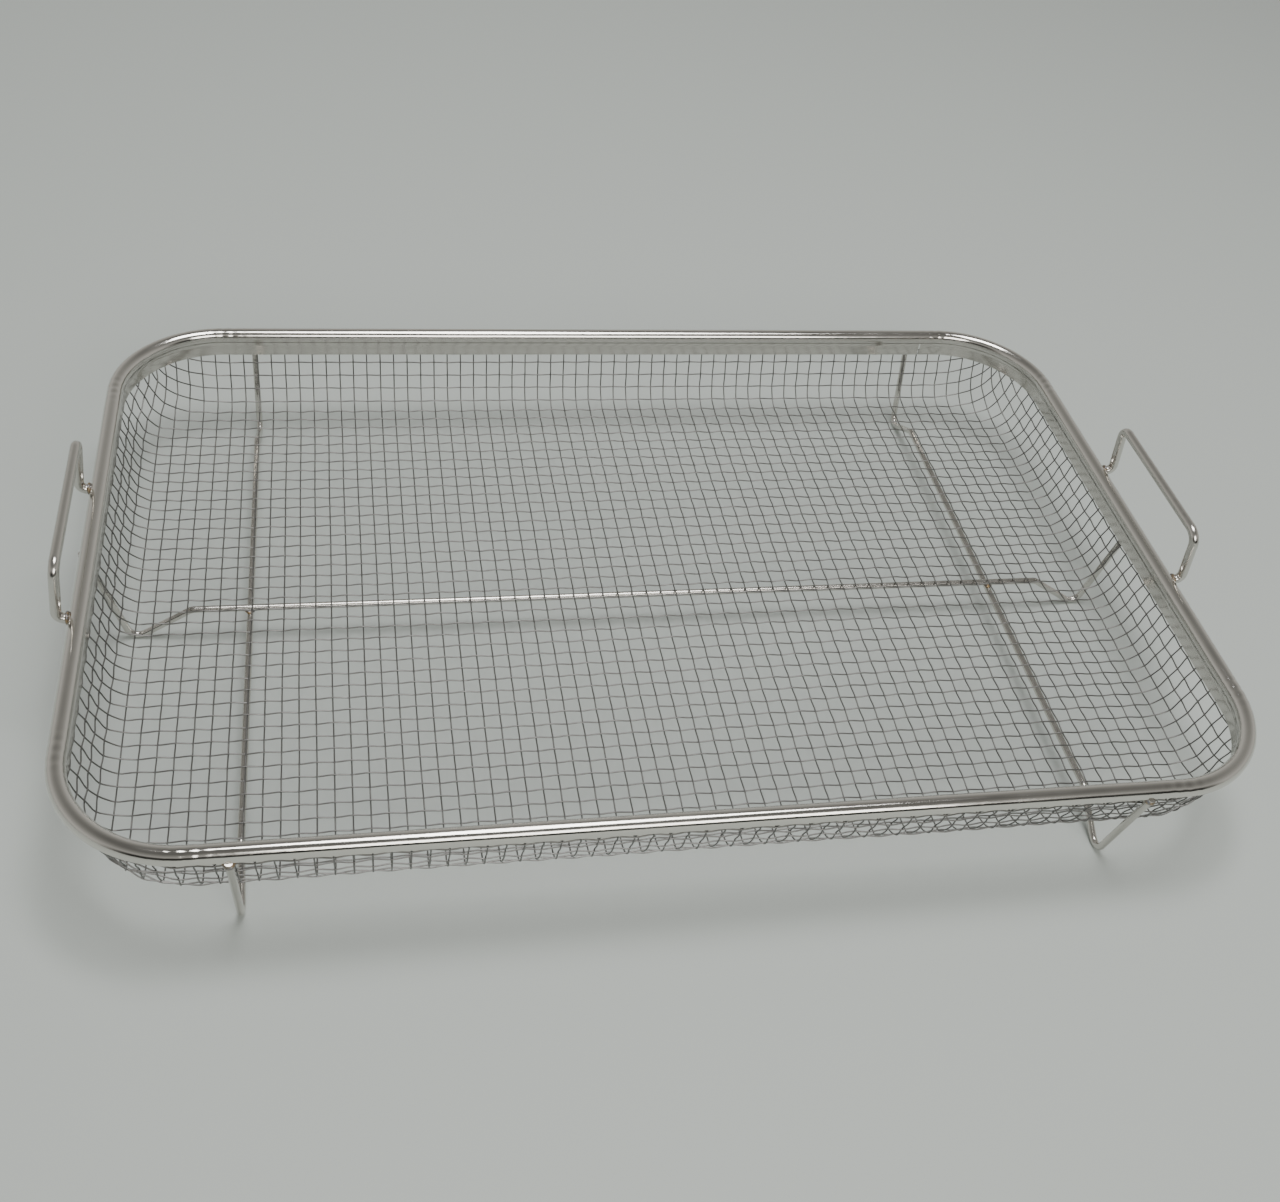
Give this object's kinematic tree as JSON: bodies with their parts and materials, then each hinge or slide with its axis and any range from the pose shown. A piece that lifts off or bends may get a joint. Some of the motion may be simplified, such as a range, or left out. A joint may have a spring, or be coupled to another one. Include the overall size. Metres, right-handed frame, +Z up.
{
  "type": "grill basket",
  "caption": "Shallow rectangular tray of woven wire mesh in a rolled rim, on bent support wires that form its feet, with a fixed wire handle at each end.",
  "frame": {"origin": "on the table, midway between the feet and under the middle of the tray", "axes": "+X along the length, towards the right-hand handle; +Y across the width; +Z up"},
  "size_m": [0.4602, 0.3032, 0.0755],
  "materials": {
    "rolled_strip": "polished stainless steel sheet strip",
    "core_wire": "drawn stainless steel wire, hidden in the bead",
    "mesh_wire": "bright crimped stainless steel wire",
    "support_wire": "bright drawn stainless steel wire",
    "handle_wire": "bright drawn stainless steel wire"
  },
  "bodies": {
    "root": {"rim_strip": "rolled_strip", "rim_core_wire": "core_wire", "woven_mesh_panel": "mesh_wire", "long_support": "support_wire", "cross_support_left": "support_wire", "cross_support_right": "support_wire", "handle_left": "handle_wire", "handle_right": "handle_wire"}
  },
  "joints": []
}
